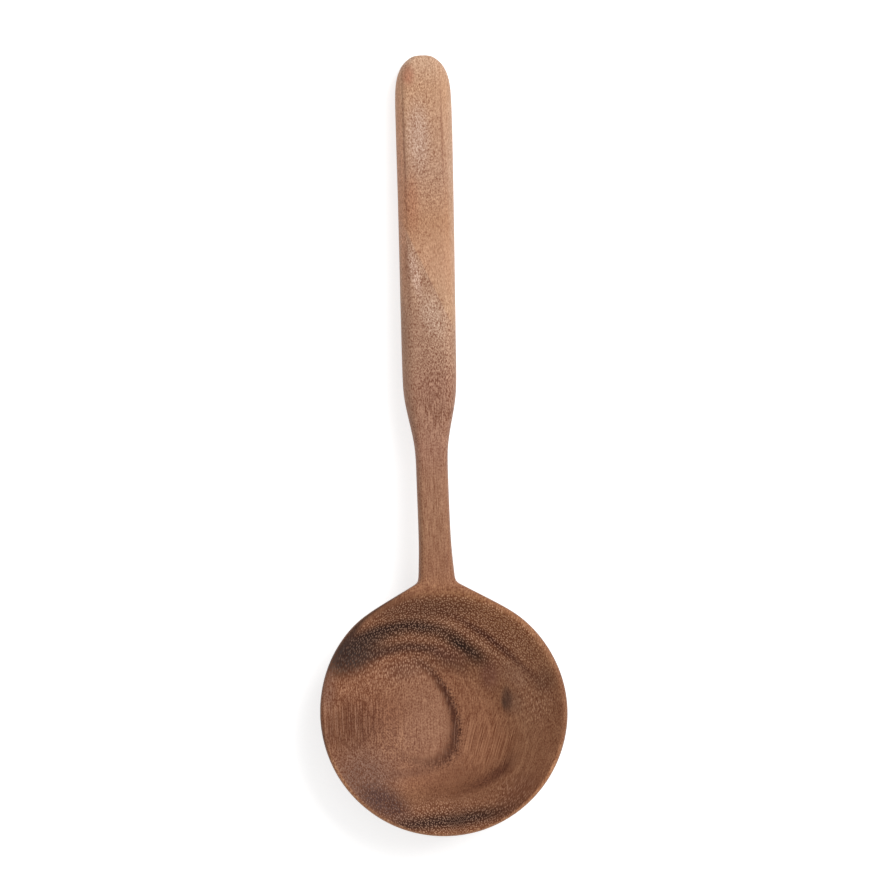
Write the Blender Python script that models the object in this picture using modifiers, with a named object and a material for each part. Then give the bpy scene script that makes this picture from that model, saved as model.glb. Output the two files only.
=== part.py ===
"""A round wooden serving spoon, carved from one piece of board.

The bowl, the slim neck and the flat grip with its rounded edges are one solid. It is modelled as it rests on
a table: on the flat under the bowl and on the underside of the grip's end. +Z is up, the way the bowl opens,
and +Y runs from the bowl's tip to the end of the grip. The origin is on the table, at the middle of the
spoon's length and of the bowl's width. All sizes are in metres.

The body is a coarse cage under a Subdivision Surface. A grid is bent into the bottom of the hollow, and its
open edge is extruded ring by ring up to the rim and round the underside to the foot. Then a patch of the
bowl's wall is extruded station by station along the neck and the grip.
"""

import math

import bmesh
import bpy

# Whole spoon
LENGTH = 0.2550

# Bowl: round, with the middle of its hollow a little towards the tip
BOWL_DIAMETER = 0.0809
BOWL_HEIGHT = 0.0210
RIM_WIDTH = 0.00175
FLOOR_THICKNESS = 0.0055
HOLLOW_TOWARDS_TIP = 0.0008
LIP_ROUNDING = 0.0009
SIDE_HEIGHT = 0.0042
FOOT_DIAMETER = 0.0240

# Neck: two straight shoulders run from its root to the bowl's circle, where they end this far apart
BOWL_SHOULDER_WIDTH = 0.0490
NECK_ROOT_BEYOND_BOWL = 0.0021
NECK_ROOT_WIDTH = 0.0124
NECK_FLARE_LENGTH = 0.0180
NECK_WIDTH = 0.0106
NECK_THICKNESS = 0.0090
NECK_EDGE = 0.0016
CORNER_ROUNDING = 0.0023

# The middle line of the handle bows this far to the left of the line from the bowl's middle to the grip's end
HANDLE_BOW = 0.0012

# Grip
GRIP_LENGTH = 0.1071
GRIP_WIDTH = 0.0189
GRIP_WIDTH_AT_SHOULDER = 0.0180
GRIP_THICKNESS = 0.0115
GRIP_EDGE = 0.0029
GRIP_ROUND_LENGTH = 0.0150
SHOULDER_LENGTH = 0.0244

# Powers of the curves: 2 is a plain parabola or ellipse, and more is fuller
HOLLOW_FULLNESS = 2.3
UNDERSIDE_FULLNESS = 1.7
GRIP_END_FULLNESS = 2.5
BOW_RISE = 1.5
BOW_FALL = 2.5

# Cage. The handle's section has four rows of points, and NECK_COLUMNS columns on each side of its middle.
# FLAT_EVENNESS under 1 crowds its points towards its edges, which keeps the top and the underside flat.
GRID_CELLS = 10
NECK_COLUMNS = 2
HANDLE_ROWS = 4
NO_ROW = -1
FLAT_EVENNESS = 0.7
NECK_PULL_FADE = 0.4
HOLLOW_RINGS = (0.62, 0.79, 0.92, 1.0)
UNDERSIDE_RINGS = (0.86, 0.66, 0.44, 0.21, 0.0)
FOOT_INNER_SHARE = 0.85
NECK_STATIONS = 5
SHOULDER_STATIONS = 5
GRIP_STATIONS = 5
END_STATIONS = 5
END_FLAT_SHARE = 0.34
END_DIP_POWER = 1.5
END_SIDE_DIP = 1 / 3

# What follows from the sizes, with places measured from the bowl's middle towards the grip
BOWL_RADIUS = BOWL_DIAMETER / 2
HOLLOW_RADIUS = BOWL_RADIUS - RIM_WIDTH
HOLLOW_DEPTH = BOWL_HEIGHT - FLOOR_THICKNESS
NECK_ROOT = BOWL_RADIUS + NECK_ROOT_BEYOND_BOWL
GRIP_END = LENGTH - BOWL_RADIUS
GRIP_ROUND_START = GRIP_END - GRIP_ROUND_LENGTH
GRIP_START = GRIP_END - GRIP_LENGTH
SHOULDER_START = GRIP_START - SHOULDER_LENGTH
COLUMNS = 4 * GRID_CELLS

# A ring of the cage is this much wider than the smooth circle that comes of it
RING_GAIN = 3.0 / (2.0 + math.cos(math.tau / COLUMNS))

# The flat top slopes down to the grip, so that the bowl's foot and the grip's end both reach the table
TOP_SLOPE = (BOWL_HEIGHT - GRIP_THICKNESS) / GRIP_ROUND_START

WOOD_COLOUR = (0.35, 0.18, 0.11, 1.0)
WOOD_ROUGHNESS = 0.5


def mix(first, second, share):
    return first + (second - first) * share


def eased(share):
    share = min(max(share, 0.0), 1.0)
    return share * share * (3.0 - 2.0 * share)


def top_height(along):
    return BOWL_HEIGHT - TOP_SLOPE * along


def grip_share(along):
    """0 in the neck and 1 in the grip, with the S-shaped shoulder between them."""
    return eased((along - SHOULDER_START) / SHOULDER_LENGTH)


def half_width(along):
    flare = max(0.0, 1.0 - (along - NECK_ROOT) / NECK_FLARE_LENGTH) ** 2
    neck = mix(NECK_WIDTH, NECK_ROOT_WIDTH, flare)
    widening = (along - GRIP_START) / (GRIP_ROUND_START - GRIP_START)
    grip = mix(GRIP_WIDTH_AT_SHOULDER, GRIP_WIDTH, min(max(widening, 0.0), 1.0))
    return mix(neck, grip, grip_share(along)) / 2


def sideways_bow(along):
    share = min(max(along / GRIP_END, 0.0), 1.0)
    peak = BOW_RISE / (BOW_RISE + BOW_FALL)
    height = share**BOW_RISE * (1.0 - share) ** BOW_FALL
    return -HANDLE_BOW * height / (peak**BOW_RISE * (1.0 - peak) ** BOW_FALL)


def handle_point(column, row, along, narrowing=1.0, dip=0.0):
    """A point of the handle's section. Rows 0 and 3 are its flat top and underside, 1 and 2 its sides.

    narrowing draws the section in towards the grip's round end, where dip rounds its top and underside over.
    """
    half = half_width(along) * narrowing
    edge = mix(NECK_EDGE, GRIP_EDGE, grip_share(along))
    if row in (0, 3):
        half *= 1.0 - edge / half_width(along)
    top = top_height(along)
    bottom = max(top - mix(NECK_THICKNESS, GRIP_THICKNESS, grip_share(along)), 0.0)
    side_drop = edge * (1.0 + dip * END_SIDE_DIP)
    heights = (top - dip * edge, top - side_drop, bottom + side_drop, bottom + dip * edge)
    across = math.copysign((abs(column) / NECK_COLUMNS) ** FLAT_EVENNESS, column)
    return across * half, along, heights[row]


def shoulder_point(column):
    """A point beside the neck: on a straight shoulder, or past its end on the bowl's circle."""
    radius = BOWL_RADIUS * RING_GAIN
    touch = math.asin(BOWL_SHOULDER_WIDTH / 2 / radius)
    end = (radius * math.sin(touch), radius * math.cos(touch))
    shoulder = math.hypot(end[0] - NECK_ROOT_WIDTH / 2, end[1] - NECK_ROOT)
    whole = shoulder + (math.pi - touch) * radius
    steps = COLUMNS // 2 - NECK_COLUMNS - 1
    run = mix(CORNER_ROUNDING, whole, (abs(column) - NECK_COLUMNS - 1) / steps)
    if run > shoulder:
        angle = touch + (run - shoulder) / radius
        return math.copysign(radius * math.sin(angle), column), radius * math.cos(angle)
    x = mix(NECK_ROOT_WIDTH / 2, end[0], run / shoulder)
    return math.copysign(x, column), mix(NECK_ROOT, end[1], run / shoulder)


def outline_point(column):
    if abs(column) <= NECK_COLUMNS:
        return handle_point(column, 1, NECK_ROOT)[:2]
    return shoulder_point(column)


def hollow_point(angle, share):
    """share runs from 0 at the middle of the hollow to 1 at its rim."""
    radius = share * RING_GAIN * HOLLOW_RADIUS
    along = radius * math.cos(angle) - HOLLOW_TOWARDS_TIP
    depth = HOLLOW_DEPTH * (1.0 - share**HOLLOW_FULLNESS)
    return radius * math.sin(angle), along, top_height(along) - depth


def hollow_ring_point(column, share):
    """The columns are even in the bottom of the hollow and run out to meet those of the outline."""
    even = math.tau * column / COLUMNS
    outer = math.atan2(*outline_point(column))
    first = HOLLOW_RINGS[0]
    return hollow_point(mix(even, outer, (share - first) / (1.0 - first)), share)


def outside_point(column, scale, drop, height_share, row):
    """A point outside the bowl, at a share of the outline's reach and of the height from table to side.

    Rows 0 to 3 are those of the handle's section, which the bowl's wall follows beside the neck.
    """
    if row != NO_ROW and abs(column) <= NECK_COLUMNS:
        return handle_point(column, row, NECK_ROOT)
    pull = 0.0
    if row > 1:
        pull = max(0.0, 1.0 - NECK_PULL_FADE * (abs(column) - NECK_COLUMNS))
    scale = mix(scale, 1.0, pull)
    x, along = (scale * value for value in outline_point(column))
    height = (top_height(along) - drop) * height_share
    return x, along, mix(height, handle_point(0, row, NECK_ROOT)[2], pull)


def outside_rings():
    """Scale, drop below the top, share of the height and row of each ring, from the rim down to the foot."""
    rings = [(1.0 - LIP_ROUNDING / BOWL_RADIUS, 0.0, 1.0), (1.0, LIP_ROUNDING, 1.0), (1.0, SIDE_HEIGHT, 1.0)]
    foot_scale = FOOT_DIAMETER / BOWL_DIAMETER
    for share in UNDERSIDE_RINGS:
        rings.append((mix(foot_scale, 1.0, share), SIDE_HEIGHT, share**UNDERSIDE_FULLNESS))
    rings.append((foot_scale * FOOT_INNER_SHARE, SIDE_HEIGHT, 0.0))
    return [(*ring, row if row < HANDLE_ROWS else NO_ROW) for row, ring in enumerate(rings)]


def end_arch(share):
    """How far along the spoon the grip's round end reaches at a share of its half width."""
    reach = (1.0 - abs(share) ** GRIP_END_FULLNESS) ** (1.0 / GRIP_END_FULLNESS)
    return GRIP_ROUND_START + GRIP_ROUND_LENGTH * reach


def handle_stations():
    """Place, narrowing and dip of each section from the neck's root to the grip's end."""
    start = NECK_ROOT + CORNER_ROUNDING
    places = [start]
    ends = (SHOULDER_START, GRIP_START, GRIP_ROUND_START)
    for end, count in zip(ends, (NECK_STATIONS, SHOULDER_STATIONS, GRIP_STATIONS)):
        places += [mix(start, end, step / count) for step in range(1, count + 1)]
        start = end
    stations = [(along, 1.0, 0.0) for along in places]
    power = 2.0 / GRIP_END_FULLNESS
    for step in range(1, END_STATIONS + 1):
        angle = math.pi / 2 * step / END_STATIONS
        narrowing = max(math.cos(angle), 0.0) ** power
        along = GRIP_ROUND_START + GRIP_ROUND_LENGTH * math.sin(angle) ** power
        stations.append((along, max(narrowing, END_FLAT_SHARE), (1.0 - math.cos(angle)) ** END_DIP_POWER))
    return stations


def square_to_circle(x, y):
    """Angle from +Y and share of the radius of a point on a square grid that reaches from -1 to 1."""
    if abs(y) >= abs(x):
        angle = math.pi / 4 * x / y if y else 0.0
        return angle + (math.pi if y < 0 else 0.0), abs(y)
    return math.copysign(math.pi / 2, x) - math.pi / 4 * y / x, abs(x)


def add_hollow_bottom(bm, column_of):
    bmesh.ops.create_grid(bm, x_segments=GRID_CELLS, y_segments=GRID_CELLS, size=1.0)
    for vert in bm.verts:
        angle, share = square_to_circle(vert.co.x, vert.co.y)
        turn = (angle + math.pi) % math.tau - math.pi
        column = round(turn / math.tau * COLUMNS)
        vert[column_of] = abs(column) if abs(column) * 2 == COLUMNS else column
        vert.co = hollow_point(angle, share * HOLLOW_RINGS[0])


def add_ring(bm, edges, column_of, place):
    """Extrudes the open edge of the bowl by one ring, whose points lie where place puts their columns."""
    made = bmesh.ops.extrude_edge_only(bm, edges=edges)["geom"]
    verts = [part for part in made if isinstance(part, bmesh.types.BMVert)]
    for vert in verts:
        vert.co = place(vert[column_of])
    return verts, [part for part in made if isinstance(part, bmesh.types.BMEdge) and part.is_boundary]


def add_bowl(bm, column_of, row_of):
    add_hollow_bottom(bm, column_of)
    for vert in bm.verts:
        vert[row_of] = NO_ROW
    edges = [edge for edge in bm.edges if edge.is_boundary]
    for share in HOLLOW_RINGS[1:]:
        _, edges = add_ring(bm, edges, column_of, lambda column: hollow_ring_point(column, share))
    for ring in outside_rings():
        verts, edges = add_ring(bm, edges, column_of, lambda column: outside_point(column, *ring))
        for vert in verts:
            vert[row_of] = ring[-1]
    bmesh.ops.edgeloop_fill(bm, edges=edges)


def add_handle(bm, column_of, row_of):
    patch = [
        face
        for face in bm.faces
        if all(vert[row_of] != NO_ROW and abs(vert[column_of]) <= NECK_COLUMNS for vert in face.verts)
    ]
    for along, narrowing, dip in handle_stations():
        made = bmesh.ops.extrude_face_region(bm, geom=patch)["geom"]
        bmesh.ops.delete(bm, geom=patch, context="FACES")
        patch = [part for part in made if isinstance(part, bmesh.types.BMFace)]
        for vert in (part for part in made if isinstance(part, bmesh.types.BMVert)):
            vert.co = handle_point(vert[column_of], vert[row_of], along, narrowing, dip)
    for vert in {vert for face in patch for vert in face.verts}:
        vert.co.y = end_arch(vert.co.x / half_width(GRIP_END))


def spoon_mesh():
    bm = bmesh.new()
    column_of = bm.verts.layers.int.new("column")
    row_of = bm.verts.layers.int.new("row")
    add_bowl(bm, column_of, row_of)
    add_handle(bm, column_of, row_of)
    for vert in bm.verts:
        vert.co.x += sideways_bow(vert.co.y)
    bmesh.ops.translate(bm, verts=bm.verts, vec=(0.0, BOWL_RADIUS - LENGTH / 2, 0.0))
    bmesh.ops.recalc_face_normals(bm, faces=bm.faces)
    mesh = bpy.data.meshes.new("spoon")
    bm.to_mesh(mesh)
    bm.free()
    mesh.shade_smooth()
    return mesh


def wood_material():
    material = bpy.data.materials.new("oiled_wood")
    material.use_nodes = True
    shader = material.node_tree.nodes["Principled BSDF"]
    shader.inputs["Base Color"].default_value = WOOD_COLOUR
    shader.inputs["Roughness"].default_value = WOOD_ROUGHNESS
    shader.inputs["Metallic"].default_value = 0.0
    return material


def main():
    for old in list(bpy.data.objects):
        bpy.data.objects.remove(old, do_unlink=True)
    collection = bpy.data.collections.new("wooden_spoon")
    bpy.context.scene.collection.children.link(collection)
    spoon = bpy.data.objects.new("spoon", spoon_mesh())
    spoon.data.materials.append(wood_material())
    smoothing = spoon.modifiers.new("smooth_form", "SUBSURF")
    smoothing.levels = 1
    smoothing.render_levels = 1
    collection.objects.link(spoon)


main()
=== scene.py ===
import math

import bmesh
import bpy
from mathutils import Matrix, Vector, noise


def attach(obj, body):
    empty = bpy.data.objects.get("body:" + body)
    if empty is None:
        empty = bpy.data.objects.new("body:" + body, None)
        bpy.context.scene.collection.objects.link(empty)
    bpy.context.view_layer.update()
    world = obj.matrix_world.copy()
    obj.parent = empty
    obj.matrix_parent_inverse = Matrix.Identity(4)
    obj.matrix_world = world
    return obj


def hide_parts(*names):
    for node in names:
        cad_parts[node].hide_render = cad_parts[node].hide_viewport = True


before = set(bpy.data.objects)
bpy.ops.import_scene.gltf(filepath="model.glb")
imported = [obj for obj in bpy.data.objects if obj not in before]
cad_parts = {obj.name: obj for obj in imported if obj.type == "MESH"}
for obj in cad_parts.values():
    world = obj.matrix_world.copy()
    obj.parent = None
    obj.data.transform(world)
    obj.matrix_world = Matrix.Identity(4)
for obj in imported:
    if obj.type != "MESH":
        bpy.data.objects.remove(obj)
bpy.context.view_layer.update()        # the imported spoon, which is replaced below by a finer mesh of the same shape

print("Frame loaded")


# Wooden spoon: one cage, from the hollow's bottom out over the rim, under the bowl and along the handle

spoonShape = {                    # metres, the same sizes as the solid
    "length": 0.2550,
    "bowlDiameter": 0.0809,
    "bowlHeight": 0.0210,
    "rimWidth": 0.00175,
    "floorThickness": 0.0055,
    "hollowTowardsTip": 0.0008,
    "lipRounding": 0.0009,
    "sideHeight": 0.0042,
    "footDiameter": 0.0240,
    "bowlShoulderWidth": 0.0490,
    "neckRootBeyondBowl": 0.0021,
    "neckRootWidth": 0.0124,
    "neckFlareLength": 0.0180,
    "neckWidth": 0.0106,
    "neckThickness": 0.0090,
    "neckEdge": 0.0016,
    "cornerRounding": 0.0023,
    "handleBow": 0.0012,
    "gripLength": 0.1071,
    "gripWidth": 0.0189,
    "gripWidthAtShoulder": 0.0180,
    "gripThickness": 0.0115,
    "gripEdge": 0.0029,
    "gripRoundLength": 0.0150,
    "shoulderLength": 0.0244,
    "hollowFullness": 2.3,
    "undersideFullness": 1.7,
    "gripEndFullness": 2.5,
    "bowRise": 1.5,
    "bowFall": 2.5,
    "smoothing": 3,               # subdivision levels of the cage
    "carving": 0.00005,           # how far the hand-finished surface wanders, all of it inwards
    "carvingSize": 0.011,
    "inset": 0.00002,             # keeps the whole surface just inside the solid's box
}

gridCells = 10
neckColumns = 2                   # columns on each side of the handle's middle
handleRows = 4
noRow = -1
flatEvenness = 0.7                # under 1 crowds the columns towards the edges, which keeps the top flat
neckPullFade = 0.4
hollowRings = (0.62, 0.79, 0.92, 1.0)
undersideRings = (0.86, 0.66, 0.44, 0.21, 0.0)
footInnerShare = 0.85
neckStations = 5
shoulderStations = 5
gripStations = 5
endStations = 5
endFlatShare = 0.34
endDipPower = 1.5
endSideDip = 1 / 3

columns = 4 * gridCells
ringGain = 3.0 / (2.0 + math.cos(math.tau / columns))     # a cage ring is this much wider than its circle
bowlRadius = spoonShape["bowlDiameter"] / 2
hollowRadius = bowlRadius - spoonShape["rimWidth"]
hollowDepth = spoonShape["bowlHeight"] - spoonShape["floorThickness"]
neckRoot = bowlRadius + spoonShape["neckRootBeyondBowl"]
gripEnd = spoonShape["length"] - bowlRadius
gripRoundStart = gripEnd - spoonShape["gripRoundLength"]
gripStart = gripEnd - spoonShape["gripLength"]
shoulderStart = gripStart - spoonShape["shoulderLength"]
topSlope = (spoonShape["bowlHeight"] - spoonShape["gripThickness"]) / gripRoundStart
bowlMiddle = bowlRadius - spoonShape["length"] / 2        # on the Y axis
millimetres = 1000.0                                      # in a metre; the wood's looks are in millimetres


def mix(first, second, share):
    return first + (second - first) * share


def eased(share):
    share = min(max(share, 0.0), 1.0)
    return share * share * (3.0 - 2.0 * share)


def topHeight(along):
    return spoonShape["bowlHeight"] - topSlope * along


def gripShare(along):             # 0 in the neck and 1 in the grip
    return eased((along - shoulderStart) / spoonShape["shoulderLength"])


def halfWidth(along):
    flare = max(0.0, 1.0 - (along - neckRoot) / spoonShape["neckFlareLength"]) ** 2
    neck = mix(spoonShape["neckWidth"], spoonShape["neckRootWidth"], flare)
    widening = min(max((along - gripStart) / (gripRoundStart - gripStart), 0.0), 1.0)
    grip = mix(spoonShape["gripWidthAtShoulder"], spoonShape["gripWidth"], widening)
    return mix(neck, grip, gripShare(along)) / 2


def sidewaysBow(along):
    rise, fall = spoonShape["bowRise"], spoonShape["bowFall"]
    share = min(max(along / gripEnd, 0.0), 1.0)
    peak = rise / (rise + fall)
    height = share**rise * (1.0 - share) ** fall
    return -spoonShape["handleBow"] * height / (peak**rise * (1.0 - peak) ** fall)


def handlePoint(column, row, along, narrowing=1.0, dip=0.0):
    # Rows 0 and 3 are the flat top and the underside, 1 and 2 the sides; dip rounds over the grip's end
    half = halfWidth(along) * narrowing
    edge = mix(spoonShape["neckEdge"], spoonShape["gripEdge"], gripShare(along))
    if row in (0, 3):
        half *= 1.0 - edge / halfWidth(along)
    top = topHeight(along)
    thickness = mix(spoonShape["neckThickness"], spoonShape["gripThickness"], gripShare(along))
    bottom = max(top - thickness, 0.0)
    sideDrop = edge * (1.0 + dip * endSideDip)
    heights = (top - dip * edge, top - sideDrop, bottom + sideDrop, bottom + dip * edge)
    across = math.copysign((abs(column) / neckColumns) ** flatEvenness, column)
    return across * half, along, heights[row]


def shoulderPoint(column):        # beside the neck, on a straight shoulder or on the bowl's circle
    radius = bowlRadius * ringGain
    rootHalf = spoonShape["neckRootWidth"] / 2
    touch = math.asin(spoonShape["bowlShoulderWidth"] / 2 / radius)
    end = (radius * math.sin(touch), radius * math.cos(touch))
    shoulder = math.hypot(end[0] - rootHalf, end[1] - neckRoot)
    whole = shoulder + (math.pi - touch) * radius
    steps = columns // 2 - neckColumns - 1
    run = mix(spoonShape["cornerRounding"], whole, (abs(column) - neckColumns - 1) / steps)
    if run > shoulder:
        angle = touch + (run - shoulder) / radius
        return math.copysign(radius * math.sin(angle), column), radius * math.cos(angle)
    x = mix(rootHalf, end[0], run / shoulder)
    return math.copysign(x, column), mix(neckRoot, end[1], run / shoulder)


def outlinePoint(column):
    if abs(column) <= neckColumns:
        return handlePoint(column, 1, neckRoot)[:2]
    return shoulderPoint(column)


def hollowPoint(angle, share):    # share is 0 at the middle of the hollow and 1 at its rim
    radius = share * ringGain * hollowRadius
    along = radius * math.cos(angle) - spoonShape["hollowTowardsTip"]
    depth = hollowDepth * (1.0 - share ** spoonShape["hollowFullness"])
    return radius * math.sin(angle), along, topHeight(along) - depth


def hollowRingPoint(column, share):
    even = math.tau * column / columns
    outer = math.atan2(*outlinePoint(column))
    first = hollowRings[0]
    return hollowPoint(mix(even, outer, (share - first) / (1.0 - first)), share)


def outsidePoint(column, scale, drop, heightShare, row):
    if row != noRow and abs(column) <= neckColumns:
        return handlePoint(column, row, neckRoot)
    pull = 0.0
    if row > 1:                   # beside the neck the bowl's wall follows the handle's section
        pull = max(0.0, 1.0 - neckPullFade * (abs(column) - neckColumns))
    scale = mix(scale, 1.0, pull)
    x, along = (scale * value for value in outlinePoint(column))
    height = (topHeight(along) - drop) * heightShare
    return x, along, mix(height, handlePoint(0, row, neckRoot)[2], pull)


def outsideRings():               # scale, drop, share of the height and row, from the rim down to the foot
    side = spoonShape["sideHeight"]
    lip = spoonShape["lipRounding"]
    rings = [(1.0 - lip / bowlRadius, 0.0, 1.0), (1.0, lip, 1.0), (1.0, side, 1.0)]
    footScale = spoonShape["footDiameter"] / spoonShape["bowlDiameter"]
    for share in undersideRings:
        rings.append((mix(footScale, 1.0, share), side, share ** spoonShape["undersideFullness"]))
    rings.append((footScale * footInnerShare, side, 0.0))
    return [(*ring, row if row < handleRows else noRow) for row, ring in enumerate(rings)]


def endArch(share):               # how far along the grip's round end reaches at a share of its half width
    fullness = spoonShape["gripEndFullness"]
    reach = (1.0 - abs(share) ** fullness) ** (1.0 / fullness)
    return gripRoundStart + spoonShape["gripRoundLength"] * reach


def handleStations():             # place, narrowing and dip of each section
    start = neckRoot + spoonShape["cornerRounding"]
    places = [start]
    ends = (shoulderStart, gripStart, gripRoundStart)
    for end, count in zip(ends, (neckStations, shoulderStations, gripStations)):
        places += [mix(start, end, step / count) for step in range(1, count + 1)]
        start = end
    stations = [(along, 1.0, 0.0) for along in places]
    power = 2.0 / spoonShape["gripEndFullness"]
    for step in range(1, endStations + 1):
        angle = math.pi / 2 * step / endStations
        narrowing = max(max(math.cos(angle), 0.0) ** power, endFlatShare)
        along = gripRoundStart + spoonShape["gripRoundLength"] * math.sin(angle) ** power
        stations.append((along, narrowing, (1.0 - math.cos(angle)) ** endDipPower))
    return stations


def squareToCircle(x, y):         # angle from +Y and share of the radius, for a point of a square grid
    if abs(y) >= abs(x):
        angle = math.pi / 4 * x / y if y else 0.0
        return angle + (math.pi if y < 0 else 0.0), abs(y)
    return math.copysign(math.pi / 2, x) - math.pi / 4 * y / x, abs(x)


def addHollowBottom(bm, columnOf):
    bmesh.ops.create_grid(bm, x_segments=gridCells, y_segments=gridCells, size=1.0)
    for vert in bm.verts:
        angle, share = squareToCircle(vert.co.x, vert.co.y)
        turn = (angle + math.pi) % math.tau - math.pi
        column = round(turn / math.tau * columns)
        vert[columnOf] = abs(column) if abs(column) * 2 == columns else column
        vert.co = hollowPoint(angle, share * hollowRings[0])


def addRing(bm, edges, columnOf, place):
    made = bmesh.ops.extrude_edge_only(bm, edges=edges)["geom"]
    verts = [part for part in made if isinstance(part, bmesh.types.BMVert)]
    for vert in verts:
        vert.co = place(vert[columnOf])
    return verts, [part for part in made if isinstance(part, bmesh.types.BMEdge) and part.is_boundary]


def addBowl(bm, columnOf, rowOf):
    addHollowBottom(bm, columnOf)
    for vert in bm.verts:
        vert[rowOf] = noRow
    edges = [edge for edge in bm.edges if edge.is_boundary]
    for share in hollowRings[1:]:
        _, edges = addRing(bm, edges, columnOf, lambda column: hollowRingPoint(column, share))
    for ring in outsideRings():
        verts, edges = addRing(bm, edges, columnOf, lambda column: outsidePoint(column, *ring))
        for vert in verts:
            vert[rowOf] = ring[-1]
    bmesh.ops.edgeloop_fill(bm, edges=edges)


def addHandle(bm, columnOf, rowOf):
    patch = [
        face
        for face in bm.faces
        if all(vert[rowOf] != noRow and abs(vert[columnOf]) <= neckColumns for vert in face.verts)
    ]
    for along, narrowing, dip in handleStations():
        made = bmesh.ops.extrude_face_region(bm, geom=patch)["geom"]
        bmesh.ops.delete(bm, geom=patch, context="FACES")
        patch = [part for part in made if isinstance(part, bmesh.types.BMFace)]
        for vert in (part for part in made if isinstance(part, bmesh.types.BMVert)):
            vert.co = handlePoint(vert[columnOf], vert[rowOf], along, narrowing, dip)
    for vert in {vert for face in patch for vert in face.verts}:
        vert.co.y = endArch(vert.co.x / halfWidth(gripEnd))


def spoonCage():
    bm = bmesh.new()
    columnOf = bm.verts.layers.int.new("column")
    rowOf = bm.verts.layers.int.new("row")
    addBowl(bm, columnOf, rowOf)
    addHandle(bm, columnOf, rowOf)
    for vert in bm.verts:
        vert.co.x += sidewaysBow(vert.co.y)
    bmesh.ops.translate(bm, verts=bm.verts, vec=(0.0, bowlMiddle, 0.0))
    bmesh.ops.recalc_face_normals(bm, faces=bm.faces)
    mesh = bpy.data.meshes.new("spoonCage")
    bm.to_mesh(mesh)
    bm.free()
    return mesh


def bakeModifiers(piece):         # the mesh becomes what its modifiers make of it
    graph = bpy.context.evaluated_depsgraph_get()
    baked = bpy.data.meshes.new_from_object(piece.evaluated_get(graph))
    piece.modifiers.clear()
    piece.data = baked


def carveSurface(mesh):           # slow, shallow waves, as a scraper and sandpaper leave them
    bm = bmesh.new()
    bm.from_mesh(mesh)
    for vert in bm.verts:
        wave = noise.noise(vert.co / spoonShape["carvingSize"]) * 0.5 + 0.5
        vert.co -= vert.normal * (spoonShape["carving"] * min(max(wave, 0.0), 1.0) + spoonShape["inset"])
    bm.to_mesh(mesh)
    bm.free()


def makeSpoon():
    spoon = bpy.data.objects.new("woodenSpoon", spoonCage())
    bpy.context.scene.collection.objects.link(spoon)
    smoothing = spoon.modifiers.new("smoothForm", "SUBSURF")
    smoothing.levels = spoonShape["smoothing"]
    smoothing.render_levels = spoonShape["smoothing"]
    bakeModifiers(spoon)
    carveSurface(spoon.data)
    spoon.data.shade_smooth()
    return spoon


spoon = makeSpoon()
print("Spoon shaped:", len(spoon.data.polygons), "faces")


# Shader nodes: a Wire is one socket, and Python's operators on it add Math nodes

class Wire:
    def __init__(self, tree, socket=None):
        self.tree = tree
        self.socket = socket

    def node(self, kind, settings=None, inputs=None, output=0):
        made = self.tree.nodes.new(kind)
        for name, value in (settings or {}).items():
            if name == "stops":
                setStops(made.color_ramp, value)
            else:
                setattr(made, name, value)
        for name, value in (inputs or {}).items():
            if isinstance(value, Wire):
                self.tree.links.new(value.socket, made.inputs[name])
            else:
                made.inputs[name].default_value = value
        return Wire(self.tree, made.outputs[output])

    def math(self, operation, *values):
        return self.node("ShaderNodeMath", {"operation": operation}, dict(enumerate(values)))

    def vector(self, operation, *values, output=0):
        return self.node("ShaderNodeVectorMath", {"operation": operation}, dict(enumerate(values)), output)

    def __add__(self, other):
        return self.math("ADD", self, other)

    def __radd__(self, other):
        return self.math("ADD", other, self)

    def __sub__(self, other):
        return self.math("SUBTRACT", self, other)

    def __rsub__(self, other):
        return self.math("SUBTRACT", other, self)

    def __mul__(self, other):
        return self.math("MULTIPLY", self, other)

    def __rmul__(self, other):
        return self.math("MULTIPLY", other, self)


def setStops(colours, stops):     # a new ramp has its first and last stops already, at 0 and 1
    colours.elements[0].color = stops[0][1]
    colours.elements[-1].color = stops[-1][1]
    for place, colour in stops[1:-1]:
        colours.elements.new(place).color = colour


def tone(red, green, blue):       # a colour as a picture shows it, 0 to 255, made linear by the usual curve
    parts = [value / 255 for value in (red, green, blue)]
    linear = [part / 12.92 if part <= 0.04045 else ((part + 0.055) / 1.055) ** 2.4 for part in parts]
    return (*linear, 1.0)


def smooth(wire, low, high):      # 0 at low and 1 at high, eased between
    return wire.node(
        "ShaderNodeMapRange",
        {"interpolation_type": "SMOOTHSTEP"},
        {"Value": wire, "From Min": low, "From Max": high},
    )


def band(wire, middle, reach):    # 1 at the middle, 0 from a reach away
    return smooth(wire.math("ABSOLUTE", wire - middle), reach, 0.0)


def blend(share, first, second):
    inputs = {0: share, 6: first, 7: second}
    return share.node("ShaderNodeMix", {"data_type": "RGBA"}, inputs, output=2)


def ramp(wire, stops):            # colours by the value of a wire, from (value, colour) pairs
    low, high = stops[0][0], stops[-1][0]
    share = wire.node("ShaderNodeMapRange", inputs={"Value": wire, "From Min": low, "From Max": high})
    places = [((value - low) / (high - low), tone(*colour)) for value, colour in stops]
    return wire.node("ShaderNodeValToRGB", {"stops": places}, {"Fac": share})


def waves(place, size, detail=1.0):      # noise around 0, with a size in millimetres along each axis
    scale = tuple(1.0 / length for length in size)
    near = place.node("ShaderNodeMapping", inputs={"Vector": place, "Scale": scale})
    inputs = {"Vector": near, "Scale": 1.0, "Detail": detail}
    return place.node("ShaderNodeTexNoise", inputs=inputs) - 0.5


ovalCore = 0.2                    # the share of an oval's reach inside which its patch is at full strength


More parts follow.
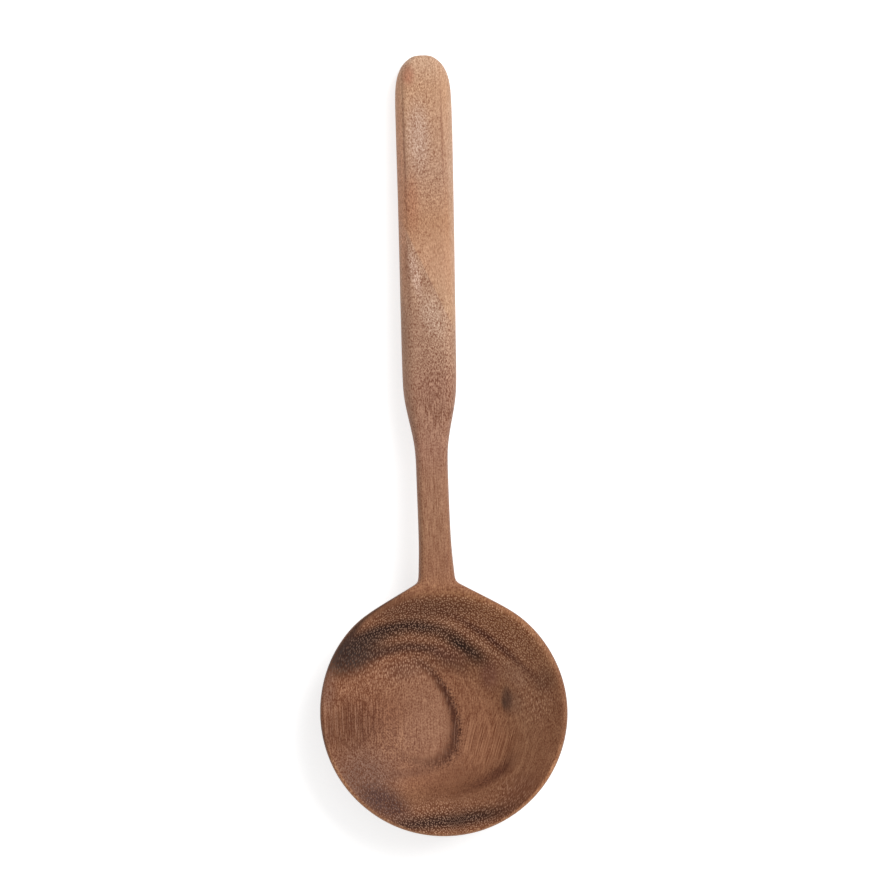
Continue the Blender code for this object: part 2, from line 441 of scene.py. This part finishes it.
def ovalReach(flat, middle, reach, turn=0.0):     # 0 at an oval's middle, seen from above, 1 on its line
    inputs = {"Vector": flat, "Location": (*middle, 0.0), "Scale": (*reach, 1.0)}
    inputs["Rotation"] = (0.0, 0.0, math.radians(turn))
    near = flat.node("ShaderNodeMapping", {"vector_type": "TEXTURE"}, inputs)
    return near.vector("LENGTH", near, output="Value")


def oval(flat, middle, reach, turn=0.0):          # 1 inside the oval, fading to 0 at its line
    return smooth(ovalReach(flat, middle, reach, turn), 1.0, ovalCore)


# Wood: growth rings cut by the hollow, vessels that show as dots or streaks, and softer patches of colour

ringLook = {                      # millimetres; the tree's middle lies above the spoon, and bends along it
    "middleAbove": 70.0,
    "middleAcross": 3.636,
    "lean": 0.132,
    "reach": 40.0,
    "rise": (0.163, 0.508, -1.012, 0.38),
    "riseHeight": 10.0,
    "wander": 0.25,
    "speckle": 0.15,
}

ringTones = (                     # distance from the tree's middle, and the tone of the wood there
    (57.5, (154, 103, 70)),
    (58.6, (150, 101, 70)),
    (59.6, (144, 96, 67)),
    (60.3, (138, 90, 63)),
    (61.0, (142, 95, 67)),
    (61.6, (140, 93, 66)),
    (62.5, (138, 93, 66)),
    (63.2, (136, 90, 63)),
    (63.9, (147, 97, 69)),
    (64.3, (144, 95, 68)),
    (64.7, (148, 99, 72)),
    (65.2, (148, 100, 73)),
    (65.8, (142, 95, 68)),
    (66.8, (120, 78, 57)),
    (67.6, (98, 66, 50)),
    (68.4, (134, 92, 69)),
    (69.8, (146, 101, 77)),
    (71.0, (116, 78, 58)),
    (72.2, (92, 62, 48)),
    (73.4, (136, 94, 70)),
    (76.0, (148, 104, 79)),
    (79.0, (118, 80, 60)),
)

woodArcs = {                      # ring level and width; the stretch's middle, reach, turn; tone, strength
    "upperBand": (62.1, 1.05, (-14.0, 28.0), (32.0, 15.0), 12.0, (58, 33, 23), 1.0),
    "leftBand": (62.7, 1.7, (-27.0, 22.0), (18.0, 13.0), 10.0, (52, 36, 31), 0.75),
    "upperBlob": (62.4, 1.25, (8.5, 21.5), (13.0, 9.0), -35.0, (36, 18, 11), 0.97),
    "secondBand": (63.6, 0.6, (-10.0, 18.0), (28.0, 14.0), 0.0, (60, 36, 30), 0.75),
    "lowerRightArc": (63.05, 0.5, (15.0, -22.5), (16.0, 8.5), 36.0, (76, 38, 25), 0.85),
    "redArc": (60.3, 0.6, (19.0, 22.0), (26.0, 12.0), -38.0, (78, 36, 22), 0.8),
    "bottomBand": (60.7, 1.5, (0.0, -34.5), (36.0, 10.0), 6.0, (44, 23, 16), 0.92),
    "upperLine": (61.2, 0.35, (8.0, 26.0), (32.0, 13.0), -25.0, (158, 112, 84), 0.85),
    "secondLine": (63.0, 0.3, (-4.0, 25.0), (24.0, 9.0), 0.0, (138, 94, 69), 0.6),
}

innerRing = {                     # a dark line round the light wood in the middle of the hollow
    "middle": (-12.6, 2.7),
    "reach": (13.4, 21.6),
    "turn": 34.0,
    "width": 0.17,
    "speckle": 0.3,
    "tone": (68, 32, 19),
    "strength": 0.9,
    "pores": 0.35,
    "stretch": ((5.0, 0.0), (28.0, 36.0)),
    "inside": (0.95, 0.84),
    "insideTone": (157, 110, 84),
    "insideStrength": 0.75,
    "insideStretch": ((-4.0, -0.5), (18.0, 24.0)),
    "height": (3.0, 5.0),
}

woodPatches = {                   # middle, reach and turn, tone, strength
    "leftShadow": ((-31.0, 19.0), (15.0, 9.0), 15.0, (54, 41, 37), 0.7),
    "leftRed": ((-22.0, 0.0), (16.0, 11.0), 0.0, (122, 72, 48), 0.5),
    "leftEdge": ((-32.0, -5.0), (17.0, 14.0), 0.0, (104, 64, 44), 0.7),
    "leftGrey": ((-27.0, -21.0), (17.0, 14.0), 0.0, (110, 79, 66), 0.65),
    "lowerPurple": ((-20.0, -29.0), (14.0, 7.0), -30.0, (70, 46, 44), 0.7),
    "topSpeckle": ((-8.0, 34.0), (28.0, 6.0), 0.0, (80, 48, 31), 0.5),
    "lowerRight": ((24.0, -26.5), (13.0, 7.0), 45.0, (92, 50, 34), 0.45),
    "lowerMiddle": ((5.0, -24.0), (22.0, 10.0), 12.0, (112, 68, 46), 0.5),
    "aboveArc": ((2.0, 16.5), (13.0, 6.0), 0.0, (104, 66, 46), 0.5),
    "rightSide": ((28.0, 10.0), (13.0, 24.0), 0.0, (158, 112, 84), 0.2),
    "rightDark": ((33.0, 9.4), (6.0, 6.0), 0.0, (98, 62, 44), 0.45),
    "lowerLine": ((-11.5, -19.4), (11.0, 2.4), 4.0, (96, 58, 44), 0.35),
    "midRight": ((23.5, 11.5), (8.0, 5.0), -40.0, (150, 108, 84), 0.5),
    "leftRim": ((-38.0, 9.0), (5.0, 10.0), 0.0, (112, 80, 68), 0.4),
    "besideLeft": ((-12.0, 14.5), (10.0, 5.0), 10.0, (112, 76, 60), 0.4),
    "redMiddle": ((15.3, 11.5), (5.0, 7.0), 0.0, (102, 58, 49), 0.5),
    "redAbove": ((2.0, 19.0), (9.0, 4.0), -20.0, (104, 60, 48), 0.35),
}

hollowPatches = {                 # as above, but only on the hollow's side
    "besideMark": ((22.5, 2.5), (5.0, 6.0), 0.0, (112, 80, 64), 0.35),
    "smallMark": ((20.7, 3.6), (2.7, 6.0), 3.0, (66, 42, 33), 0.7),
    "markFoot": ((19.7, 2.0), (1.1, 2.8), 8.0, (40, 22, 16), 0.5),
}

handleTones = (                   # distance from the bowl's middle along the spoon
    (38.0, (157, 105, 74)),
    (46.0, (152, 103, 76)),
    (60.0, (160, 113, 85)),
    (76.0, (159, 112, 86)),
    (86.0, (162, 115, 92)),
    (98.0, (160, 116, 92)),
    (108.0, (170, 125, 101)),
    (118.0, (184, 141, 113)),
    (132.0, (195, 151, 119)),
    (146.0, (197, 148, 116)),
    (160.0, (184, 134, 101)),
    (176.0, (183, 139, 112)),
    (194.0, (195, 149, 118)),
    (204.0, (196, 149, 116)),
    # the last stop paints a highlight round the arch of the grip's end
    (213.0, (202, 160, 130)),
)

handlePatches = {                 # as the patches of the bowl
    # painted reflection: the outer left bevel is painted paler, where it reflects the pale surroundings
    "leftFacetReflection": ((-8.2, 172.0), (1.9, 60.0), 0.0, (212, 152, 119), 0.6),
    # painted shade: a thin dark line along the left bevel, which faces away from the light
    "leftLineShade": ((-6.7, 182.0), (0.6, 42.0), 0.0, (114, 64, 44), 0.46),
    "redCorner": ((-4.8, 208.0), (3.2, 5.0), 0.0, (170, 100, 75), 0.55),
    "leftHeart": ((-4.6, 143.0), (2.4, 11.0), 10.0, (206, 168, 148), 0.5),
    "leftDark": ((-7.0, 143.0), (1.4, 17.0), 3.0, (132, 84, 64), 0.4),
    "rightLine": ((5.7, 190.0), (0.6, 24.0), 0.0, (140, 88, 62), 0.5),
    "darkStreaks": ((0.5, 107.0), (9.5, 21.0), 0.0, (138, 92, 73), 0.42),
    "paleEnd": ((-2.0, 188.0), (5.5, 16.0), 0.0, (192, 156, 136), 0.6),
    "redSide": ((-5.0, 166.0), (4.0, 14.0), 0.0, (176, 118, 88), 0.6),
    "greyLeft": ((-5.0, 123.0), (8.0, 20.0), 0.0, (157, 115, 92), 0.65),
    # painted light: the right bevel is painted paler, as it faces the light
    "rightEdgeHighlight": ((8.8, 165.0), (2.6, 56.0), 0.0, (206, 168, 140), 0.42),
}

slantLook = {                     # a slanting line on the grip, between smooth orange and speckled tan wood
    "across": 0.913,
    "along": 0.409,
    "offset": 57.96,
    "start": (106.0, 120.0),
    "edge": (0.3, -0.3),
    "speckle": 0.6,
    "tone": (180, 138, 112),
    "strength": 0.9,
    "heart": ((0.5, 129.0), (5.0, 10.0), 15.0, (198, 164, 142), 0.35),
}

poreLook = {
    "across": 0.64,               # millimetres between vessels
    "through": 0.56,
    "scatter": 0.85,              # 0 would set the vessels in a square grid
    "lean": 0.13,                 # how steeply the vessels rise through the bowl
    "twist": 0.002,
    "fan": 0.007,                 # how they spread in the upper right
    "slope": 0.22,                # how they slope in the lower right
    "slopeStart": (0.0, 7.0),
    "wander": 0.9,
    "drift": (6.0, 18.0, 6.0),
    "gripStart": (96.0, 122.0),
    "gripLean": 0.3,
    "dot": (0.4, 0.05),           # distance from a vessel's middle where its dot begins and is full
    "meanDot": 0.24,
    "strength": (1.45, 0.2),      # where the vessels stand out, and everywhere
    "halo": 0.42,
    "haloTone": (205, 156, 130),
    "fibre": (0.56, 0.9, 1.0),    # size of the fine streaks, in vessels
    "depth": 0.00005,             # metres
}

poreStretches = {                 # where the vessels stand out in the bowl: middle, reach, strength
    "upper": ((0.0, 29.0), (46.0, 20.0), 0.95),
    "lower": ((0.0, -36.0), (32.0, 11.0), 0.9),
    "left": ((-30.0, 4.0), (20.0, 30.0), 0.3),
    "lowerLeft": ((-23.0, -26.0), (14.0, 11.0), 0.35),
    "upperRight": ((24.0, 20.0), (16.0, 11.0), 0.5),
    "right": ((31.0, 6.0), (10.0, 16.0), 0.5),
    "middle": ((12.0, 9.0), (12.0, 12.0), 0.2),
    "belowBands": ((-14.0, 14.0), (19.0, 8.0), 0.4),
    "lowerRight": ((22.0, -27.0), (13.0, 9.0), 0.35),
}

grainStretches = {                # where the fine grain stands out: middle, reach, strength
    "upperBowl": ((-4.0, 26.0), (46.0, 26.0), 0.5),
    "lowerBowl": ((-4.0, -34.0), (36.0, 14.0), 0.6),
    "leftBowl": ((-28.0, -8.0), (24.0, 30.0), 2.6),
    "smoothRight": ((16.0, -10.0), (20.0, 16.0), -0.9),
    "neck": ((0.0, 64.0), (9.0, 34.0), -0.6),
    "smoothSide": ((4.0, 150.0), (7.0, 22.0), -1.2),
    "smoothEnd": ((4.5, 192.0), (3.5, 22.0), -1.0),
    "shoulder": ((2.0, 106.0), (12.0, 28.0), 1.0),
    "upperGrip": ((1.0, 184.0), (10.0, 28.0), 0.6),
}

fibreStretches = {                # where fine streaks along the grain stand out: middle, reach, strength
    "left": ((-30.0, -2.0), (18.0, 10.0), 1.8),
    "right": ((15.0, -10.0), (18.0, 16.0), 2.0),
    "neck": ((0.0, 64.0), (9.0, 34.0), 0.3),
    "shoulder": ((1.5, 105.0), (10.0, 19.0), 2.7),
}

rimHighlightLook = {                       # painted highlight: the rim round the lower half is painted lighter, where its edge catches the light
    "reach": (38.3, 39.3),
    "along": (-6.0, -22.0),
    "tone": (184, 127, 89),
    "strength": 0.85,
}

grainLook = {
    "fine": (0.4, 0.62, 0.4),     # millimetres
    "slow": (7.0, 12.0, 7.0),
    "mottle": (3.0, 4.5, 3.0),
    "line": (0.14, 40.0, 40.0),   # fine lines along the growth rings
    "fineStrength": 2.0,
    "slowStrength": 0.15,
    "mottleStrength": 0.6,
    "lineStrength": 0.4,
    "fibreStrength": 1.15,
    "patchEdge": 2.5,             # how much the fine grain breaks up the patches in the bowl and on the grip
    "gripPatchEdge": 1.5,
    "belowSlant": 0.9,
    "smoothHandle": 0.7,
    "tint": (0.72, 1.0, 1.14),    # how much of the grain each of red, green and blue takes
    "lift": (1.015, 1.05, 1.08),
    "darkest": -0.65,
    "lightest": 0.85,
    "edge": (6.2, 7.4),           # the rounded edges of the grip are smoother than its flat top
    "edgeMiddle": -0.5,
    "edgeStart": (90.0, 100.0),
    "edgeShare": 0.4,
}

placeLook = {                     # millimetres along the spoon, or out from the hollow's middle
    "handle": (38.0, 41.5),
    "handleSpeckle": 2.0,
    "bowl": (46.0, 39.0),
    "hollow": (39.7, 38.6),
}

surfaceLook = {"roughness": 0.48, "poreRoughness": 0.14, "specular": 0.12}


def ringLevel(x, along, height):  # distance from the tree's middle, which bends along the spoon
    first, second, third, fourth = ringLook["rise"]
    reach = ringLook["reach"]
    across = x * (1.0 / reach)
    kept = along.node("ShaderNodeClamp", inputs={"Value": along, "Min": -reach, "Max": reach})
    run = kept * (1.0 / reach)
    rise = run * first + across * run * second + run * run * third + across * across * run * fourth
    side = x - ringLook["middleAcross"] + kept * ringLook["lean"]
    above = ringLook["middleAbove"] - height - rise * ringLook["riseHeight"]
    square = side * side + above * above
    return square.math("SQRT", square)


def paintPatches(colour, flat, patches, edge):
    for middle, reach, turn, shade, strength in patches.values():
        share = oval(flat, middle, reach, turn) * edge
        colour = blend(share * strength, colour, tone(*shade))
    return colour


def addStretches(total, flat, stretches):
    for middle, reach, strength in stretches.values():
        total = oval(flat, middle, reach) * strength + total
    return total


def paintBowl(flat, level, height, fine):     # its colour, and where the dark line of the inner ring is
    inHollowOnly = smooth(height, *innerRing["height"])
    colour = ramp(level, ringTones)
    for ring, width, middle, reach, turn, shade, strength in woodArcs.values():
        share = band(level, ring, width) * oval(flat, middle, reach, turn)
        colour = blend(share * strength, colour, tone(*shade))
    ring = ovalReach(flat, innerRing["middle"], innerRing["reach"], innerRing["turn"])
    ring = ring + fine * innerRing["speckle"]
    inside = smooth(ring, *innerRing["inside"]) * oval(flat, *innerRing["insideStretch"]) * inHollowOnly
    colour = blend(inside * innerRing["insideStrength"], colour, tone(*innerRing["insideTone"]))
    darkRing = band(ring, 1.0, innerRing["width"]) * oval(flat, *innerRing["stretch"]) * inHollowOnly
    colour = blend(darkRing * innerRing["strength"], colour, tone(*innerRing["tone"]))
    colour = paintPatches(colour, flat, woodPatches, 1.0 + fine * grainLook["patchEdge"])
    return paintPatches(colour, flat, hollowPatches, inHollowOnly), darkRing


def paintGrip(flat, x, along, fine):          # its colour, and which of it lies below the slant
    colour = ramp(along, handleTones)
    slant = x * slantLook["across"] + along * slantLook["along"] - slantLook["offset"]
    below = smooth(slant + fine * slantLook["speckle"], *slantLook["edge"])
    below = below * smooth(along, *slantLook["start"])
    colour = blend(below * slantLook["strength"], colour, tone(*slantLook["tone"]))
    colour = paintPatches(colour, flat, handlePatches, 1.0 + fine * grainLook["gripPatchEdge"])
    heartEdge = (1.0 + fine * grainLook["patchEdge"]) * below
    return paintPatches(colour, flat, {"heart": slantLook["heart"]}, heartEdge), below


def vesselPlace(place, x, along, height):     # one pattern through the wood, dots on walls, streaks on flats
    onGrip = smooth(along, *poreLook["gripStart"])
    inBowl = smooth(along, *placeLook["bowl"])
    turned = x - x.math("MAXIMUM", x, 0.0) * along * poreLook["fan"] * inBowl
    lower = along.math("MINIMUM", along, 0.0) * smooth(x, *poreLook["slopeStart"])
    turned = turned - lower * inBowl * poreLook["slope"]
    through = height + (x * poreLook["twist"] * inBowl + poreLook["lean"]) * along
    through = through + (along - poreLook["gripStart"][0]) * onGrip * poreLook["gripLean"]
    drift = waves(place, poreLook["drift"])
    inputs = {
        "X": turned * (1.0 / poreLook["across"]) + drift * poreLook["wander"],
        "Y": through * (1.0 / poreLook["through"]) - drift * poreLook["wander"],
    }
    return place.node("ShaderNodeCombineXYZ", inputs=inputs)


def vesselDots(vessels):                      # 1 in the middle of each vessel
    inputs = {"Vector": vessels, "Scale": 1.0, "Randomness": poreLook["scatter"]}
    cells = vessels.node("ShaderNodeTexVoronoi", {"voronoi_dimensions": "2D"}, inputs)
    return smooth(cells, *poreLook["dot"])


def oiledWood():
    material = bpy.data.materials.new("oiledWood")
    material.use_nodes = True
    tree = material.node_tree
    shader = tree.nodes["Principled BSDF"]
    point = Wire(tree).node("ShaderNodeTexCoord", output="Object")
    bowl = (0.0, -millimetres * bowlMiddle, 0.0)
    inputs = {"Vector": point, "Location": bowl, "Scale": (millimetres,) * 3}
    place = point.node("ShaderNodeMapping", inputs=inputs)
    axes = place.node("ShaderNodeSeparateXYZ", inputs={"Vector": place}).socket.node.outputs
    x, along, height = (Wire(tree, axes[axis]) for axis in "XYZ")
    flat = place.node("ShaderNodeCombineXYZ", inputs={"X": x, "Y": along})
    hollowMiddle = (0.0, -millimetres * spoonShape["hollowTowardsTip"], 0.0)
    fromHollow = flat.vector("DISTANCE", flat, hollowMiddle, output="Value")

    fine = waves(place, grainLook["fine"])
    slow = waves(place, grainLook["slow"])
    level = ringLevel(x, along, height) + slow * ringLook["wander"] + fine * ringLook["speckle"]
    colour, darkRing = paintBowl(flat, level, height, fine)
    grip, below = paintGrip(flat, x, along, fine)
    # painted highlight on the rim round the bowl's lower half
    rimHighlightShare = smooth(fromHollow, *rimHighlightLook["reach"]) * smooth(along, *rimHighlightLook["along"])
    colour = blend(rimHighlightShare * rimHighlightLook["strength"], colour, tone(*rimHighlightLook["tone"]))
    handleShare = smooth(along + fine * placeLook["handleSpeckle"], *placeLook["handle"])
    colour = blend(handleShare, colour, grip)

    vessels = vesselPlace(place, x, along, height)
    dots = vesselDots(vessels)
    fibres = waves(vessels, poreLook["fibre"])
    lines = place.node("ShaderNodeCombineXYZ", inputs={"X": level, "Y": x, "Z": along})
    lines = waves(lines, grainLook["line"], 2.0)
    mottle = waves(place, grainLook["mottle"], 2.0)
    contrast = addStretches(0.0, flat, poreStretches) + darkRing * innerRing["pores"]
    contrast = contrast * smooth(fromHollow, *placeLook["hollow"])
    streaks = addStretches(grainLook["fibreStrength"], flat, fibreStretches)
    speckle = addStretches(grainLook["fineStrength"], flat, grainStretches)
    side = x - grainLook["edgeMiddle"]
    onEdge = smooth(side.math("ABSOLUTE", side), *grainLook["edge"])
    onEdge = onEdge * smooth(along, *grainLook["edgeStart"])
    speckle = (speckle + below * grainLook["belowSlant"]) * (1.0 - onEdge * grainLook["edgeShare"])

    strong, everywhere = poreLook["strength"]
    grain = (dots - poreLook["meanDot"]) * (contrast * strong + everywhere) + fibres * streaks
    grain = grain + slow * grainLook["slowStrength"] + fine * speckle + lines * grainLook["lineStrength"]
    mottle = mottle * (1.0 - handleShare * grainLook["smoothHandle"])
    grain = grain + mottle * grainLook["mottleStrength"]
    inputs = {"Value": grain, "Min": grainLook["darkest"], "Max": grainLook["lightest"]}
    grain = grain.node("ShaderNodeClamp", inputs=inputs)
    tints = zip("XYZ", grainLook["tint"], grainLook["lift"])
    tint = {axis: grain * share + lift for axis, share, lift in tints}
    tint = grain.node("ShaderNodeCombineXYZ", inputs=tint)
    colour = blend(dots * contrast * poreLook["halo"], colour, tone(*poreLook["haloTone"]))
    colour = colour.vector("MULTIPLY", colour, tint)

    rough = surfaceLook["roughness"] + dots * surfaceLook["poreRoughness"]
    inputs = {"Height": dots * -1.0, "Distance": poreLook["depth"], "Strength": 1.0}
    bump = dots.node("ShaderNodeBump", inputs=inputs)
    tree.links.new(colour.socket, shader.inputs["Base Color"])
    tree.links.new(rough.socket, shader.inputs["Roughness"])
    tree.links.new(bump.socket, shader.inputs["Normal"])
    shader.inputs["Specular IOR Level"].default_value = surfaceLook["specular"]
    return material


spoon.data.materials.clear()
spoon.data.materials.append(oiledWood())
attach(spoon, "root")
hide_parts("spoon")
print("Spoon painted")


# Floor, light and camera

floorLook = {"size": 6.0, "colour": 0.8, "glow": 0.6}     # the glow is only what the camera sees


def seenDirectly(tree):           # 1 for the camera's rays and for those that gloss or glass sends on
    path = Wire(tree).node("ShaderNodeLightPath", output="Is Camera Ray")
    rays = path.socket.node.outputs
    glossy = Wire(tree, rays["Is Glossy Ray"])
    through = Wire(tree, rays["Is Transmission Ray"])
    return path.math("MAXIMUM", path.math("MAXIMUM", path, glossy), through)


def makeFloor():
    bm = bmesh.new()
    bmesh.ops.create_grid(bm, x_segments=1, y_segments=1, size=floorLook["size"] / 2)
    mesh = bpy.data.meshes.new("floor")
    bm.to_mesh(mesh)
    bm.free()
    floor = bpy.data.objects.new("floor", mesh)
    bpy.context.scene.collection.objects.link(floor)
    material = bpy.data.materials.new("paleFloor")
    material.use_nodes = True
    tree = material.node_tree
    tree.nodes.remove(tree.nodes["Principled BSDF"])
    seen = seenDirectly(tree)
    colour = (floorLook["colour"],) * 3 + (1.0,)
    matt = seen.node("ShaderNodeBsdfDiffuse", inputs={"Color": colour})
    glow = seen.node("ShaderNodeEmission", inputs={"Strength": seen * floorLook["glow"]})
    both = seen.node("ShaderNodeAddShader", inputs={0: matt, 1: glow})
    tree.links.new(both.socket, tree.nodes["Material Output"].inputs["Surface"])
    floor.data.materials.append(material)


makeFloor()

lightLook = {
    "sky": 0.5,                   # even light from all round
    "lampShare": 0.5,             # what the lamp adds on a level surface
    "lampSize": 1.4,
    "lampPlace": (1.15, 0.85, 1.75),
}


def makeLight():
    world = bpy.data.worlds.new("studio")
    bpy.context.scene.world = world
    world.use_nodes = True
    tree = world.node_tree
    seen = seenDirectly(tree)
    background = tree.nodes["Background"]
    strength = seen * (1.0 - lightLook["sky"]) + lightLook["sky"]
    tree.links.new(strength.socket, background.inputs["Strength"])
    background.inputs["Color"].default_value = (1.0, 1.0, 1.0, 1.0)
    place = Vector(lightLook["lampPlace"])
    lamp = bpy.data.lights.new("softLamp", "AREA")
    lamp.size = lightLook["lampSize"]
    distance = place.length       # light falls off with its square, and with the slant at which it arrives
    lamp.energy = lightLook["lampShare"] * (math.pi * distance) ** 2 / (place.z / distance)
    holder = bpy.data.objects.new("softLamp", lamp)
    holder.location = place
    holder.rotation_euler = (-place).to_track_quat("-Z", "Y").to_euler()
    bpy.context.scene.collection.objects.link(holder)


makeLight()

cameraLook = {                    # straight down, turned so that the handle leans to the left
    "middle": (0.0033, 0.0),
    "sharpHeight": 0.016,
    "height": 5.0,
    "frameWidth": 0.29005,
    "turn": -1.94,
    "sensor": 36.0,
    "farthest": 20.0,
}


def makeCamera():
    camera = bpy.data.cameras.new("camera")
    camera.sensor_width = cameraLook["sensor"]
    distance = cameraLook["height"] - cameraLook["sharpHeight"]
    camera.lens = camera.sensor_width * distance / cameraLook["frameWidth"]
    camera.clip_end = cameraLook["farthest"]
    holder = bpy.data.objects.new("camera", camera)
    holder.location = (*cameraLook["middle"], cameraLook["height"])
    holder.rotation_euler = (0.0, 0.0, math.radians(cameraLook["turn"]))
    bpy.context.scene.collection.objects.link(holder)
    bpy.context.scene.camera = holder


makeCamera()
bpy.context.scene.view_settings.view_transform = "Standard"
print("Floor, light and camera set")
